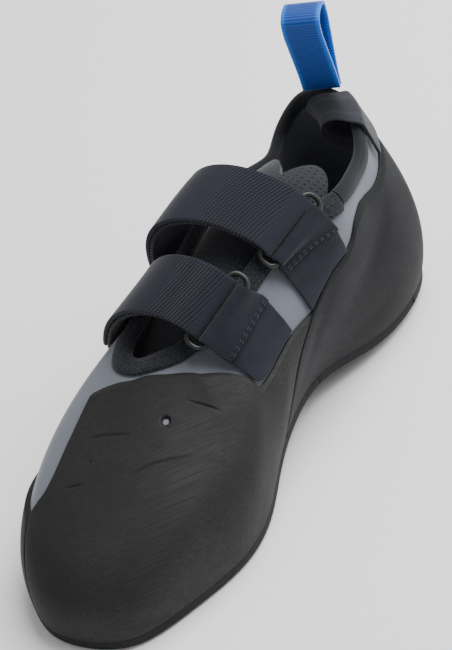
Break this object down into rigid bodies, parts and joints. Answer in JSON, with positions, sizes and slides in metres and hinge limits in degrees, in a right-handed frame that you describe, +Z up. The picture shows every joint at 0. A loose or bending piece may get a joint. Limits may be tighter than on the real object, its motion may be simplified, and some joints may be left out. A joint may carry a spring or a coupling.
{
  "type": "climbing shoe",
  "caption": "Left rock climbing shoe: hollow upper, rubber toe box and rand, split rubber sole, padded tongue, two ring-tightened straps and two pull loops.",
  "frame": {"origin": "on the floor under the ball of the foot, at the middle of the forefoot's flat spot", "axes": "+Z up, +Y towards the heel, -Y towards the toe, +X towards the outer side of a left foot"},
  "size_m": [0.0878, 0.2449, 0.1402],
  "materials": {
    "rubber": "matte, sanded",
    "outsole_rubber": "matte",
    "microfibre": "synthetic microfibre, short nap",
    "mesh": "perforated knit",
    "webbing": "ribbed hook-and-loop webbing",
    "cloth": "close-woven cloth",
    "wire": "black coated wire",
    "blue_tape": "smooth woven tape",
    "insole_board": "felt-covered board"
  },
  "bodies": {
    "root": {"upper": "microfibre", "toe_rubber": "rubber", "heel_rubber": "rubber", "outsole_front": "outsole_rubber", "outsole_heel": "outsole_rubber", "insole": "insole_board", "throat_binding": "mesh", "collar_binding": "mesh", "tongue": "mesh", "strap_base_front": "cloth", "strap_base_rear": "cloth", "ring_front": "wire", "ring_rear": "wire", "strap_front": "webbing", "strap_rear": "webbing", "side_pull_loop": "webbing", "heel_pull_loop": "blue_tape"}
  },
  "joints": []
}
